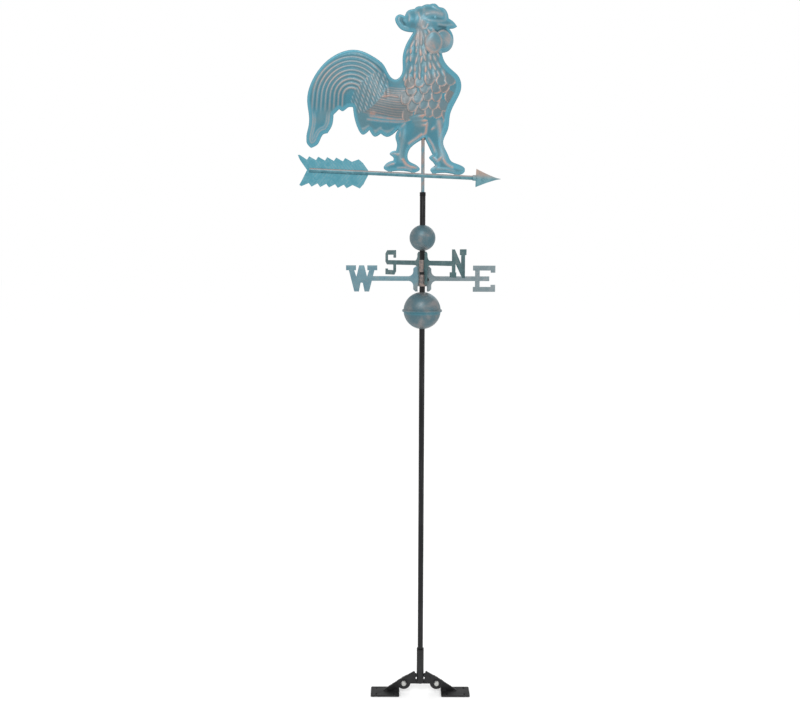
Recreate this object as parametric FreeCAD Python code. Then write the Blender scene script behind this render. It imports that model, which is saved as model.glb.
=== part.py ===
import FreeCAD, Part
import math
import os

# Rooster weather vane on a sectional mast, with compass arms, two spun balls and a hinged roof
# mount. Millimetres, +Z up along the mast. The origin is on the mast axis at the level of the
# undersides of the two feet, X runs along the roof mount, and the front of the vane faces -Y.
# The spindle turns in bushings in the mast top and rests on a steel ball. The arrow is pinned
# through by the spindle, and the hollow rooster stands on the arrow.

# ---- clearances -------------------------------------------------------------------------
run_fit = 0.05          # radial play of a shaft that turns in a hole
air = 0.3               # air between faces of parts that move past each other
slip_fit = 0.05         # radial play of a mast section pushed into the next

# ---- mast -------------------------------------------------------------------------------
mast_r = 7.95           # 5/8 in tube
mast_wall = 1.5
lower_joint_z = 515.0   # where the middle section slips over the lower one
upper_joint_z = 916.0
mast_top_z = 1460.0     # upper end, under the cap; the heights of what the top carries follow it
swage_length = 50.0     # reduced end that goes into the next section
shoulder_length = 4.0   # thickened stretch where the tube steps down to its reduced end

# ---- spindle and its bearings -------------------------------------------------------------
spindle_r = 4.76        # 3/8 in rod
cap_r = mast_r + 0.45
cap_height = 11.0
cap_spigot = 30.0       # the part of the top bushing inside the mast
lower_bush_z = mast_top_z - 115.0
lower_bush_length = 18.0
seat_plug_length = 14.0
thrust_ball_r = 4.0
spindle_foot_z = mast_top_z - 138.0  # lower end of the spindle, on the thrust ball
spindle_in_rooster = 80.0  # how far the spindle runs up inside the rooster

# ---- spun balls ---------------------------------------------------------------------------
ball_wall = 1.0
upper_ball_r = 36.4
upper_ball_z = mast_top_z - 116.0
lower_ball_r = 52.6
lower_ball_z = mast_top_z - 320.3
bead_r = 2.2            # rolled seam round the lower ball
bead_reach = 1.7        # how far the centre of the bead stands out from the ball
ball_hole_play = 0.25
grommet_r = mast_r + 3.55
grommet_height = 5.0

# ---- compass arms -------------------------------------------------------------------------
arm_t = 2.5             # sheet that the arms and letters are cut from
arm_height = 13.4
cusp_inner = mast_r + 5.05  # upright edges of an arm, measured from the mast axis
cusp_outer = cusp_inner + 12.5
cusp_fillet_r = 14.0
cusp_tip = 6.0          # bevel at the ends of an upright edge
letter_half = 37.0      # half of a letter's height
letter_bar = 14.0       # thickness of a letter's serifs and bars

upper_hub_r = mast_r + 1.25
upper_hub_z = (mast_top_z - 211.5, mast_top_z - 177.5)
north_arm_z = mast_top_z - 186.0
upper_cusp_z = (mast_top_z - 248.0, mast_top_z - 154.0)
north_azimuth = -60.0   # the north-south arms stand 60 degrees from the east-west arms

lower_hub_r = mast_r + 2.45
lower_hub_z = (mast_top_z - 252.0, mast_top_z - 219.0)
east_arm_z = mast_top_z - 230.0
lower_cusp_z = (mast_top_z - 266.5, mast_top_z - 196.0)
east_azimuth = 0.0

screw_r = 3.0           # clamping screws of the two hubs
screw_head_r = 4.3
screw_head_from = mast_r + 5.55
screw_head_length = 6.0
upper_screw_z = mast_top_z - 188.0
upper_screw_azimuth = 90.0
lower_screw_z = mast_top_z - 233.0
lower_screw_azimuth = -28.0

# ---- arrow --------------------------------------------------------------------------------
arrow_z = mast_top_z + 57.0  # centre of the arrow shaft where the spindle crosses it
nose_down = 2.5         # the arrow and the rooster are fixed this many degrees off square
shaft_r = spindle_r + 1.24
shaft_wall = 1.2
shaft_tail = -316.0     # ends of the shaft along the arrow, from the spindle
shaft_nose = 144.0
feather_t = 1.2
feather_front = shaft_tail + 164.0
feather_notch = shaft_tail - 7.0
tooth_count = 5
tooth_pitch = 25.0
tooth_depth = 9.5
feather_top = 38.0
feather_bottom = -45.0
head_length = 69.0
head_half_height = 25.5
head_hollow = 1.25      # 1 is a straight-sided head, above 1 its sides curve in
head_half_thickness = 5.0
tang_length = 25.0
collar_r = shaft_r + 1.8
collar_length = 9.0

# ---- rooster ------------------------------------------------------------------------------
sheet_t = 1.0           # stamped sheet of the two half shells
chord = 11.0            # longest straight piece that stands for a curve of the outline
foot_rest = shaft_r + 0.2  # height of the undersides of the toes above the arrow's centre line
# The hollow body steps out from the flange: inset from the outline, depth from the seam.
body_steps = ((9.0, 9.0), (22.0, 17.0), (38.0, 26.0))
socket_wall = 1.4

# ---- roof mount ---------------------------------------------------------------------------
plate_t = 5.0           # saddle and foot webs
shoulder_z = 66.3
saddle_slope = 30.5     # fall of the saddle's upper edges
strap_bottom_z = 28.5
notch_floor_z = 33.0
notch_bevel = 9.0
pivot_x = 48.5
pivot_z = 31.5
lobe_r = 20.0
socket_r = mast_r + 2.55
notch_half = socket_r + 2.7  # half width of the notch round the socket tube
shoulder_x = notch_half + 4.2  # upper corners of the saddle
socket_top_z = 137.0
foot_length = 84.0
foot_width = 44.0
foot_t = 4.0
foot_inner_x = pivot_x + 13.5
foot_corner_r = 3.0
web_slope = 34.0        # fall of a foot web's upper edge
web_toe_x = foot_inner_x + 48.0
foot_screw_r = 2.75
foot_screw_pitch_x = 52.0
foot_screw_pitch_y = 29.0
bolt_r = 4.76           # 3/8 in hexagon bolts at the pivots
hex_flats = 14.3
bolt_head_t = 6.2
washer_r = 10.3
washer_t = 1.6
nut_t = 8.4
bolt_end = 1.5          # thread standing out of the nut
weld_r = 3.0
mast_screw_z = 110.0

V = FreeCAD.Vector
UP = V(0, 0, 1)
BACK = V(0, 1, 0)


# ---- helpers ------------------------------------------------------------------------------
def rod(radius, z_low, z_high):
    """Upright cylinder on the mast axis."""
    return Part.makeCylinder(radius, z_high - z_low, V(0, 0, z_low))


def pipe(outer, inner, z_low, z_high):
    return rod(outer, z_low, z_high).cut(rod(inner, z_low, z_high))


def upright_plate(points, y_low, y_high):
    """Plate with the outline (x, z), between two values of y."""
    corners = [V(x, y_low, z) for x, z in points]
    face = Part.Face(Part.makePolygon(corners + corners[:1]))
    return face.extrude(V(0, y_high - y_low, 0))


def cross_rod(radius, x, z, y_low, y_high):
    """Cylinder along Y."""
    return Part.makeCylinder(radius, y_high - y_low, V(x, y_low, z), BACK)


def hexagon(flats, x, z, y_low, y_high):
    reach = flats / 2 / math.cos(math.radians(30))
    angles = [math.radians(60 * i) for i in range(6)]
    points = [(x + reach * math.cos(a), z + reach * math.sin(a)) for a in angles]
    return upright_plate(points, y_low, y_high)


def turned(shape, degrees, axis=UP, centre=V(0, 0, 0)):
    copy = shape.copy()
    copy.rotate(centre, axis, degrees)
    return copy


def mirrored_x(shape):
    return shape.mirror(V(0, 0, 0), V(1, 0, 0))


def joined(shapes):
    return shapes[0].fuse(shapes[1:]).removeSplitter() if len(shapes) > 1 else shapes[0]


nodes = {}


def keep(name, *solids):
    """Store a node: one solid, or a group of separate ones."""
    nodes[name] = solids[0] if len(solids) == 1 else Part.makeCompound(list(solids))


# ---- roof mount: saddle, socket and bolts -------------------------------------------------
def below_line(x_from, z_from, degrees):
    """Large plate below a line that falls outwards on both sides of the mast."""
    reach = 400.0
    drop = reach * math.tan(math.radians(degrees))
    points = [(-x_from - reach, z_from - drop), (-x_from, z_from), (x_from, z_from),
              (x_from + reach, z_from - drop), (x_from + reach, -reach), (-x_from - reach, -reach)]
    return upright_plate(points, -reach, reach)


def make_roof_mount():
    front = -plate_t / 2
    back = plate_t / 2
    strap = upright_plate([(-pivot_x, strap_bottom_z), (pivot_x, strap_bottom_z),
                           (pivot_x, shoulder_z), (-pivot_x, shoulder_z)], front, back)
    lobes = [cross_rod(lobe_r, side * pivot_x, pivot_z, front, back) for side in (-1, 1)]
    ears = [upright_plate([(side * pivot_x, pivot_z), (side * (pivot_x + lobe_r), pivot_z),
                           (side * (pivot_x + lobe_r), shoulder_z),
                           (side * pivot_x, shoulder_z)], front, back) for side in (-1, 1)]
    saddle = joined([strap] + lobes + ears)
    saddle = saddle.common(below_line(shoulder_x, shoulder_z, saddle_slope))
    notch = [(-notch_half, notch_floor_z), (notch_half, notch_floor_z),
             (notch_half, shoulder_z - notch_bevel), (shoulder_x, shoulder_z + 1),
             (-shoulder_x, shoulder_z + 1), (-notch_half, shoulder_z - notch_bevel)]
    saddle = saddle.cut(upright_plate(notch, front - 1, back + 1))
    for side in (-1, 1):
        saddle = saddle.cut(cross_rod(bolt_r + run_fit, side * pivot_x, pivot_z, front - 1, back + 1))
    keep("saddle_plate", saddle)

    socket = pipe(socket_r, mast_r + slip_fit, notch_floor_z, socket_top_z)
    mast_screw = Part.makeCylinder(screw_r, 8.0, V(0, mast_r, mast_screw_z), BACK)
    drive = hexagon(3.0, 0, mast_screw_z, mast_r + 5.0, mast_r + 9.0)
    socket = socket.cut(mast_screw)
    keep("socket_tube", socket)
    keep("mast_set_screw", mast_screw.cut(drive))

    beads = []
    for side in (-1, 1):
        for z_low, z_high in ((notch_floor_z, notch_floor_z + 4), (50.0, 58.0)):
            bead = Part.makeCylinder(weld_r, z_high - z_low, V(side * notch_half, 0, z_low))
            beads.append(bead.cut(rod(socket_r, 0, socket_top_z)).cut(saddle))
    # A bead that crosses the plate is left as its front and back halves.
    keep("socket_welds", *[solid for bead in beads for solid in bead.Solids])

    bolts, washers, nuts = [], [], []
    head_back = front - washer_t
    web_back = back + air + plate_t
    nut_front = web_back + air + washer_t
    for side in (-1, 1):
        x = side * pivot_x
        head = hexagon(hex_flats, x, pivot_z, head_back - bolt_head_t, head_back)
        dome = Part.makeCone(hex_flats / 2 - 1.5, hex_flats / 2 + 2.2, bolt_head_t,
                             V(x, head_back - bolt_head_t, pivot_z), BACK)
        shank = cross_rod(bolt_r, x, pivot_z, head_back - 0.5, nut_front + nut_t + bolt_end)
        bolt = head.common(dome).fuse(shank).removeSplitter()
        bolts.append(bolt)
        bore = cross_rod(bolt_r + run_fit, x, pivot_z, -50, 50)
        washers.append(cross_rod(washer_r, x, pivot_z, head_back, front).cut(bore))
        washers.append(cross_rod(washer_r, x, pivot_z, nut_front - washer_t, nut_front).cut(bore))
        nut = hexagon(hex_flats, x, pivot_z, nut_front, nut_front + nut_t)
        nuts.append(nut.cut(cross_rod(bolt_r, x, pivot_z, -50, 50)))
    keep("pivot_bolts", *bolts)
    keep("pivot_washers", *washers)
    keep("pivot_nuts", *nuts)


def make_foot(prefix, side):
    """One hinged foot, drawn on the +X side and mirrored for the other."""
    front = plate_t / 2 + air
    back = front + plate_t
    rise = math.tan(math.radians(web_slope))
    crest_x = pivot_x - lobe_r
    crest_z = foot_t + (web_toe_x - crest_x) * rise
    web = joined([
        cross_rod(lobe_r, pivot_x, pivot_z, front, back),
        upright_plate([(foot_inner_x, foot_t), (web_toe_x, foot_t), (pivot_x, crest_z),
                       (pivot_x, pivot_z), (foot_inner_x, pivot_z - lobe_r / 2)], front, back)])
    trim = upright_plate([(web_toe_x, foot_t), (crest_x, crest_z), (crest_x, crest_z + 100),
                          (web_toe_x, crest_z + 100)], front - 1, back + 1)
    web = web.cut(trim).cut(cross_rod(bolt_r + run_fit, pivot_x, pivot_z, front - 1, back + 1))

    plate = Part.makeBox(foot_length, foot_width, foot_t, V(foot_inner_x, -foot_width / 2, 0))
    corners = [edge for edge in plate.Edges if abs(edge.Vertexes[0].Z - edge.Vertexes[-1].Z) > 1]
    plate = plate.makeFillet(foot_corner_r, corners)
    middle = foot_inner_x + foot_length / 2
    for i in (-1, 1):
        for j in (-1, 1):
            centre = V(middle + i * foot_screw_pitch_x / 2, j * foot_screw_pitch_y / 2, -1)
            plate = plate.cut(Part.makeCylinder(foot_screw_r, foot_t + 2, centre))

    welds = []
    for x in (foot_inner_x + 9, web_toe_x - 7):
        bead = Part.makeCylinder(weld_r, 10.0, V(x - 5, front, foot_t), V(1, 0, 0))
        welds.append(bead.common(Part.makeBox(20, weld_r, weld_r, V(x - 10, front - weld_r, foot_t))))

    for name, shape in (("plate", plate), ("web", web), ("welds", Part.makeCompound(welds))):
        keep(prefix + "_foot_" + name, shape if side > 0 else mirrored_x(shape))


# ---- mast and bearings --------------------------------------------------------------------
def mast_section(z_low, z_high, swaged):
    bore = mast_r - mast_wall
    section = pipe(mast_r, bore, z_low, z_high)
    if not swaged:
        return section
    neck_r = bore - slip_fit
    neck_top = z_high + swage_length
    neck = pipe(neck_r, neck_r - mast_wall, z_high - shoulder_length, neck_top)
    shoulder = pipe(mast_r, neck_r - mast_wall, z_high - shoulder_length, z_high)
    return joined([section, neck, shoulder])


def make_mast():
    bore = mast_r - mast_wall
    keep("mast_lower", mast_section(notch_floor_z, lower_joint_z, True))
    keep("mast_middle", mast_section(lower_joint_z, upper_joint_z, True))
    keep("mast_upper", mast_section(upper_joint_z, mast_top_z, False))

    journal = spindle_r + run_fit
    cap = rod(cap_r, mast_top_z, mast_top_z + cap_height)
    cap = cap.makeFillet(1.2, [edge for edge in cap.Edges if edge.BoundBox.ZMin > mast_top_z + 1])
    cap = cap.fuse(rod(bore, mast_top_z - cap_spigot, mast_top_z)).removeSplitter()
    cap = cap.cut(rod(journal, mast_top_z - cap_spigot - 1, mast_top_z + cap_height + 1))
    keep("top_bushing", cap)
    keep("lower_bushing", pipe(bore, journal, lower_bush_z, lower_bush_z + lower_bush_length))

    ball_z = spindle_foot_z - air - thrust_ball_r
    plug = rod(bore, ball_z - seat_plug_length, ball_z - 1.0)
    plug = plug.cut(Part.makeSphere(thrust_ball_r, V(0, 0, ball_z)))
    keep("ball_seat", plug)
    keep("thrust_ball", Part.makeSphere(thrust_ball_r, V(0, 0, ball_z)))


# ---- spun balls ---------------------------------------------------------------------------
def make_ball(prefix, centre_z, radius, beaded):
    centre = V(0, 0, centre_z)
    inner = Part.makeSphere(radius - ball_wall, centre)
    shell = Part.makeSphere(radius, centre).cut(inner)
    shell = shell.cut(rod(mast_r + ball_hole_play, centre_z - 2 * radius, centre_z + 2 * radius))
    size = 4 * radius
    upper_half = Part.makeBox(size, size, size, V(-size / 2, -size / 2, centre_z))
    top = shell.common(upper_half)
    bottom = shell.cut(upper_half)
    if beaded:
        bead = Part.makeTorus(radius + bead_reach, bead_r, centre)
        top = top.fuse(bead.cut(Part.makeSphere(radius, centre))).removeSplitter()
    keep(prefix + "_ball_top", top)
    keep(prefix + "_ball_bottom", bottom)

    inner_r = radius - ball_wall
    seat = math.sqrt(inner_r ** 2 - grommet_r ** 2)
    rings = []
    for side in (-1, 1):
        ends = sorted((centre_z + side * (seat - grommet_height), centre_z + side * radius))
        rings.append(pipe(grommet_r, mast_r, *ends).common(inner))
    keep(prefix + "_ball_grommets", *rings)


# ---- compass arms -------------------------------------------------------------------------
# A letter is an outline (distance from the mast axis, height above the arm's centre line).
def letter_n():
    h, bar = letter_half, letter_bar
    return [(149, h), (160, h), (191, -4), (191, h - bar - 1), (185, h - bar - 1), (185, h),
            (212, h), (212, h - bar - 1), (206, h - bar - 1), (206, -h), (196, -h), (163, 3),
            (163, bar - h), (167, bar - h), (167, -h), (139, -h), (139, bar - h), (149, bar - h)]


def letter_s():
    """Read from the front with the mast on the right."""
    h, bar, mid = letter_half, letter_bar, arm_height / 2
    return [(151, h), (203, h), (214, h - 10), (214, 2), (204, -mid), (165, -mid), (165, bar - h),
            (201, bar - h), (201, 18 - h), (214, 18 - h), (214, -h), (161, -h), (151, 10 - h),
            (151, mid), (201, mid), (201, h - bar), (164, h - bar), (164, h - 23), (151, h - 23)]


def letter_e():
    h, bar, mid = letter_half, letter_bar, arm_height / 2
    upper = [(149, h - bar), (143, h - bar), (143, h), (206, h), (206, h - 20), (193, h - 20),
             (193, h - bar), (162, h - bar), (162, mid), (189, mid)]
    return upper + [(s, -v) for s, v in reversed(upper)]


def letter_w():
    """Symmetric about its middle, 171 mm out."""
    h, bar, middle = letter_half, letter_bar, 171.0
    half = [(3, -12), (8, -h), (21, -h), (36, h - bar), (44, h - bar), (44, h), (16, h),
            (16, h - bar), (21, h - bar), (15, 5), (7, h)]
    return [(middle - d, v) for d, v in half] + [(middle + d, v) for d, v in reversed(half)]


def make_arm(name, azimuth, centre_z, cusps, hub, hub_r, letter, letter_from):
    """Arm and letter cut from one sheet, standing upright along an azimuth."""
    side = arm_height / 2
    low, high = (z - centre_z for z in cusps)
    hub_low, hub_high = (z - centre_z for z in hub)
    upright = [(cusp_inner, low), (cusp_outer - cusp_tip, low), (cusp_outer, low + cusp_tip),
               (cusp_outer, high - cusp_tip), (cusp_outer - cusp_tip, high), (cusp_inner, high),
               (cusp_inner, hub_high), (0, hub_high), (0, hub_low), (cusp_inner, hub_low)]
    # The arm proper, with its root fillets cut by two round rods.
    root = side + cusp_fillet_r
    bar_points = [(cusp_outer - 1, -root), (cusp_outer + cusp_fillet_r, -root),
                  (cusp_outer + cusp_fillet_r, -side), (letter_from, -side), (letter_from, side),
                  (cusp_outer + cusp_fillet_r, side), (cusp_outer + cusp_fillet_r, root),
                  (cusp_outer - 1, root)]
    y_low, y_high = -arm_t / 2, arm_t / 2
    arm = upright_plate(bar_points, y_low, y_high)
    for sign in (-1, 1):
        arm = arm.cut(cross_rod(cusp_fillet_r, cusp_outer + cusp_fillet_r, sign * root,
                                y_low - 1, y_high + 1))
    arm = joined([upright_plate(upright, y_low, y_high), arm, upright_plate(letter, y_low, y_high)])
    arm.translate(V(0, 0, centre_z))
    arm = arm.cut(rod(hub_r, cusps[0] - 1, cusps[1] + 1))
    keep(name, turned(arm, azimuth))


def make_hub(prefix, hub, hub_r, screw_z, screw_azimuth):
    outward = V(math.cos(math.radians(screw_azimuth)), math.sin(math.radians(screw_azimuth)), 0)
    tip = mast_r + air
    shank = Part.makeCylinder(screw_r, screw_head_from - tip + 1, V(0, 0, screw_z) + outward * tip,
                              outward)
    head = Part.makeCylinder(screw_head_r, screw_head_length,
                             V(0, 0, screw_z) + outward * screw_head_from, outward)
    keep(prefix + "_hub", pipe(hub_r, mast_r + run_fit, *hub).cut(shank))
    keep(prefix + "_screw", shank.fuse(head).removeSplitter())


def make_compass():
    make_hub("north_south", upper_hub_z, upper_hub_r, upper_screw_z, upper_screw_azimuth)
    make_hub("east_west", lower_hub_z, lower_hub_r, lower_screw_z, lower_screw_azimuth)
    upper = (north_arm_z, upper_cusp_z, upper_hub_z, upper_hub_r)
    lower = (east_arm_z, lower_cusp_z, lower_hub_z, lower_hub_r)
    make_arm("north_arm", north_azimuth, *upper, letter_n(), 155.0)
    make_arm("south_arm", north_azimuth + 180, *upper, letter_s(), 155.0)
    make_arm("east_arm", east_azimuth, *lower, letter_e(), 155.0)
    make_arm("west_arm", east_azimuth + 180, *lower, letter_w(), 150.0)


# ---- arrow --------------------------------------------------------------------------------
def on_vane(shape):
    """Move a shape from the arrow's own frame, (0, 0) at the spindle, to its place."""
    placed = shape.copy()
    placed.translate(V(0, 0, arrow_z))
    return turned(placed, nose_down, BACK, V(0, 0, arrow_z))


def feather_outline():
    """Saw-toothed sheet with a swallow tail. Teeth lean towards the tail."""
    top_valley = feather_top - tooth_depth
    bottom_valley = feather_bottom + tooth_depth
    points = [(feather_notch, 0), (feather_notch - 20, 26), (feather_notch - 27, 40),
              (feather_notch - 22, 41)]
    for i in range(tooth_count):
        valley = feather_notch - 1 + i * tooth_pitch
        points += [(valley, top_valley), (valley + 6, feather_top)]
    points += [(feather_notch + 124, top_valley), (feather_front - 28, feather_top - 2),
               (feather_front - 16, top_valley - 2), (feather_front, shaft_r),
               (feather_front, -shaft_r), (feather_front - 12, bottom_valley + 4),
               (feather_front - 22, feather_bottom + 1)]
    for i in reversed(range(tooth_count + 1)):
        valley = feather_notch + 6 + i * tooth_pitch * 0.98
        if i < tooth_count:
            points.append((valley + 8, feather_bottom))
        points.append((valley, bottom_valley))
    points += [(feather_notch - 14, feather_bottom), (feather_notch - 20, feather_bottom + 3),
               (feather_notch - 12, -26)]
    return points


def make_arrow(spindle):
    feathers = upright_plate(feather_outline(), -feather_t / 2, feather_t / 2)
    axis = V(1, 0, 0)
    length = shaft_nose - shaft_tail
    shaft = Part.makeCylinder(shaft_r, length, V(shaft_tail, 0, 0), axis)
    bore = Part.makeCylinder(shaft_r - shaft_wall, length, V(shaft_tail, 0, 0), axis)
    shaft = on_vane(shaft.cut(bore).cut(feathers)).cut(spindle)
    keep("arrow_shaft", *shaft.Solids)
    keep("tail_feathers", on_vane(feathers))

    collar = Part.makeCylinder(collar_r, collar_length, V(shaft_nose - collar_length + 4, 0, 0), axis)
    collar = collar.cut(Part.makeCylinder(shaft_r, length, V(shaft_tail, 0, 0), axis))
    tang = Part.makeCylinder(shaft_r - shaft_wall, tang_length + 6, V(shaft_nose - tang_length, 0, 0),
                             axis)
    keep("head_collar", on_vane(collar.cut(tang)))

    # The head is a hollow-ground spear: diamond sections whose height falls along a curve.
    root = shaft_nose + 4
    sections = []
    stations = 8
    for i in range(stations):
        along = i / (stations - 1)
        half = max(head_half_height * (1 - along) ** head_hollow, 0.6)
        thick = max(head_half_thickness * (1 - along), 0.6)
        x = root + head_length * along
        corners = [V(x, 0, half), V(x, thick, 0), V(x, 0, -half), V(x, -thick, 0)]
        sections.append(Part.makePolygon(corners + corners[:1]))
    head = Part.makeLoft(sections, True, True).fuse(tang).removeSplitter()
    keep("arrow_head", on_vane(head))


# ---- rooster ------------------------------------------------------------------------------
# The outline, in the arrow's frame: smooth runs that meet at corners, clockwise from the tail.
rooster_runs = (
    # tail, back and neck
    ((-314, 61), (-323, 69), (-322, 127), (-329, 189), (-312, 254), (-262, 311), (-200, 331),
     (-149, 314), (-121, 293), (-103, 265), (-88, 257), (-75, 266), (-71, 310), (-63, 352), (-45, 385)),
    # rear lobe of the comb, then its points
    ((-45, 385), (-61, 386), (-78, 391), (-91, 404), (-96, 421), (-87, 430), (-70, 427)),
    ((-70, 427), (-65, 439), (-45, 447)),
    ((-45, 447), (-38, 453), (-25, 455)),
    ((-25, 455), (-15, 460), (-3, 461)),
    ((-3, 461), (8, 464), (22, 455)),
    ((22, 455), (36, 452), (46, 440), (50, 426)),
    # beak and wattles
    ((50, 426), (62, 419), (74, 406)),
    ((74, 406), (66, 401), (53, 399)),
    ((53, 399), (62, 386), (66, 369), (62, 350), (52, 339), (36, 334)),
    # throat, breast and front of the leading leg
    ((36, 334), (42, 316), (66, 290), (86, 272), (94, 243), (85, 214), (67, 168), (63, 128),
     (52, 93), (67, 60), (75, 45), (103, 33), (117, 21), (111, 10), (95, foot_rest)),
    ((95, foot_rest), (62, 10), (28, foot_rest)),
    ((28, foot_rest), (20, 15), (33, 29)),
    # spur and crotch
    ((33, 29), (25, 39), (15, 50), (24, 58)),
    ((24, 58), (10, 84), (0, 102)),
    # trailing leg
    ((0, 102), (-25, 86), (-43, 64), (-42, 40), (-17, 26), (-9, 17), (-25, foot_rest)),
    ((-25, foot_rest), (-60, 10), (-95, foot_rest)),
    ((-95, foot_rest), (-110, 16), (-103, 28), (-84, 37)),
    ((-84, 37), (-84, 45), (-95, 55), (-89, 62), (-78, 64)),
    ((-78, 64), (-76, 84), (-81, 100), (-74, 123)),
    # saddle feathers along the belly
    ((-74, 123), (-92, 106), (-103, 101), (-122, 109)),
    ((-122, 109), (-138, 100), (-154, 117)),
    ((-154, 117), (-172, 104), (-186, 120), (-202, 177)),
    # underside of the tail
    ((-202, 177), (-215, 176), (-231, 165), (-240, 170)),
    ((-240, 170), (-255, 154)),
    ((-255, 154), (-258, 125), (-270, 103)),
    ((-270, 103), (-279, 101), (-295, 73), (-314, 61)),
)


def rooster_face():
    points = []
    for run in rooster_runs:
        corners = [V(x, 0, z) for x, z in run]
        if len(corners) == 2:
            points += corners[:1]
            continue
        curve = Part.BSplineCurve()
        curve.interpolate(corners)
        edge = curve.toShape()
        points += edge.discretize(max(3, int(edge.Length / chord) + 1))[:-1]
    return Part.Face(Part.makePolygon(points + points[:1]))


def inset_plate(face, inset, depth):
    """The outline moved inwards, as a plate from the seam to a depth on the near side."""
    inner = face.makeOffset2D(-inset) if inset > 0 else face
    smallest = 400.0
    plates = [part.extrude(V(0, -depth, 0)) for part in inner.Faces if part.Area > smallest]
    return joined(plates) if plates else None


def make_rooster(spindle):
    face = rooster_face()
    outer = [inset_plate(face, 0, sheet_t)]
    hollow = []
    for inset, depth in body_steps:
        outer.append(inset_plate(face, inset, depth))
        hollow.append(inset_plate(face, inset + sheet_t, depth - sheet_t))
    shell = on_vane(joined(outer).cut(joined(hollow)))
    crotch_z = spindle.BoundBox.ZMax - spindle_in_rooster
    socket_r_out = spindle_r + socket_wall
    shell = shell.cut(rod(socket_r_out, crotch_z - 15, spindle.BoundBox.ZMax))
    keep("rooster_near_shell", shell)
    keep("rooster_far_shell", shell.mirror(V(0, 0, 0), BACK))
    keep("rooster_socket", pipe(socket_r_out, spindle_r, crotch_z - 4, spindle.BoundBox.ZMax))

    # Solder under both ends of each foot, between the flanges and the arrow.
    shaft = Part.makeCylinder(shaft_r, shaft_nose - shaft_tail, V(shaft_tail, 0, 0), V(1, 0, 0))
    beads = []
    for x in (-92, -28, 31, 92):
        bead = Part.makeCylinder(2.5, 12.0, V(x - 6, 0, foot_rest), V(1, 0, 0))
        beads += on_vane(bead.cut(shaft)).cut(shell).cut(nodes["rooster_far_shell"]).Solids
    keep("foot_solder", *beads)


def make_vane():
    crotch_z = arrow_z + 102
    spindle = rod(spindle_r, spindle_foot_z, crotch_z + spindle_in_rooster)
    keep("spindle", spindle)
    make_arrow(spindle)
    make_rooster(spindle)


make_roof_mount()
make_foot("left", -1)
make_foot("right", 1)
make_mast()
make_ball("upper", upper_ball_z, upper_ball_r, False)
make_ball("lower", lower_ball_z, lower_ball_r, True)
make_compass()
make_vane()

os.makedirs("parts", exist_ok=True)
for name, shape in nodes.items():
    shape.exportStep("parts/" + name + ".step")
    solids = len(shape.Solids)
    print(f"{name:22s} solids {solids:2d}  volume {shape.Volume / 1000:9.2f} cm3  valid {shape.isValid()}")
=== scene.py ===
# %% [markdown]
# # A rooster weather vane
# A pressed-copper rooster stands on an arrow that turns in the top of a black mast. Two spun
# balls and two pairs of compass arms sit on the mast, and a hinged mount holds it on a roof.
# The engineering model gives every part's size and place. This lesson loads it, keeps its joints,
# and makes what the eye sees: pressed feathers, patina, rounded edges, welds and zinc bolts.

# %% Load the engineering model
import math

import bmesh
import bpy
import numpy as np
from mathutils import Matrix, Vector, geometry


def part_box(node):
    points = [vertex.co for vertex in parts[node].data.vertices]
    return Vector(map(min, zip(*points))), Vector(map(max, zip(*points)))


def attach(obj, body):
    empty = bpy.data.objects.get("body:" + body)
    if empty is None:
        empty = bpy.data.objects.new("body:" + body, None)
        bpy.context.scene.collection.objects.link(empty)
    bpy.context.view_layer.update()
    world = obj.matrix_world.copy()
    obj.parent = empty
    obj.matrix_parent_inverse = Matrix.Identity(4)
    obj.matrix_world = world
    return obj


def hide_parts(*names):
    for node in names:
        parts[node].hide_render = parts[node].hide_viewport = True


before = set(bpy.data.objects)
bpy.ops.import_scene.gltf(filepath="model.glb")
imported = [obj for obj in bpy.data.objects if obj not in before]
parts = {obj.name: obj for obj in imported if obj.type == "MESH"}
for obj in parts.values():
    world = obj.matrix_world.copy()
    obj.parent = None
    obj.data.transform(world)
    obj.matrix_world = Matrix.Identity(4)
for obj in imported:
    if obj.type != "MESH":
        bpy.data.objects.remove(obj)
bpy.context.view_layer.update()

MM = 0.001

# %% [markdown]
# ## Working habits
# An operator acts on everything that is selected, so each helper first puts every other piece
# out of reach. Faces and points are picked in code, by where they are.


# %% Selecting and editing
def put_down():
    """Leaves nothing selected, so the next primitive starts clean."""
    if bpy.context.object and bpy.context.object.mode == "EDIT":
        bpy.ops.object.mode_set(mode="OBJECT")
    bpy.ops.object.select_all(action="DESELECT")


def take_up(piece):
    """Makes one piece the only one selected."""
    put_down()
    bpy.context.view_layer.objects.active = piece
    piece.select_set(True)


def open_mesh(piece):
    take_up(piece)
    bpy.ops.object.mode_set(mode="EDIT")
    bpy.ops.mesh.select_all(action="SELECT")


def close_mesh():
    bpy.ops.object.mode_set(mode="OBJECT")


def pick(piece, wanted, kind="FACE"):
    """Selects the faces whose centre, or the points whose place, satisfies a rule."""
    bpy.ops.mesh.select_mode(type=kind)
    bpy.ops.mesh.select_all(action="DESELECT")
    mesh = bmesh.from_edit_mesh(piece.data)
    if kind == "FACE":
        for face in mesh.faces:
            face.select_set(bool(wanted(face.calc_center_median())))
    else:
        for point in mesh.verts:
            point.select_set(bool(wanted(point.co)))
        mesh.select_flush_mode()
    bmesh.update_edit_mesh(piece.data)


def finish_with(piece, kind, **settings):
    """Adds a modifier and applies it at once."""
    take_up(piece)
    modifier = piece.modifiers.new(kind.title(), kind)
    for name, value in settings.items():
        setattr(modifier, name, value)
    bpy.ops.object.modifier_apply(modifier=modifier.name)


def settle(piece, name):
    """Names a piece and moves its place into its mesh, so the object itself sits at the origin."""
    take_up(piece)
    bpy.ops.object.transform_apply(location=True, rotation=True, scale=True)
    piece.name = name
    piece.data.name = name
    return piece


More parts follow.
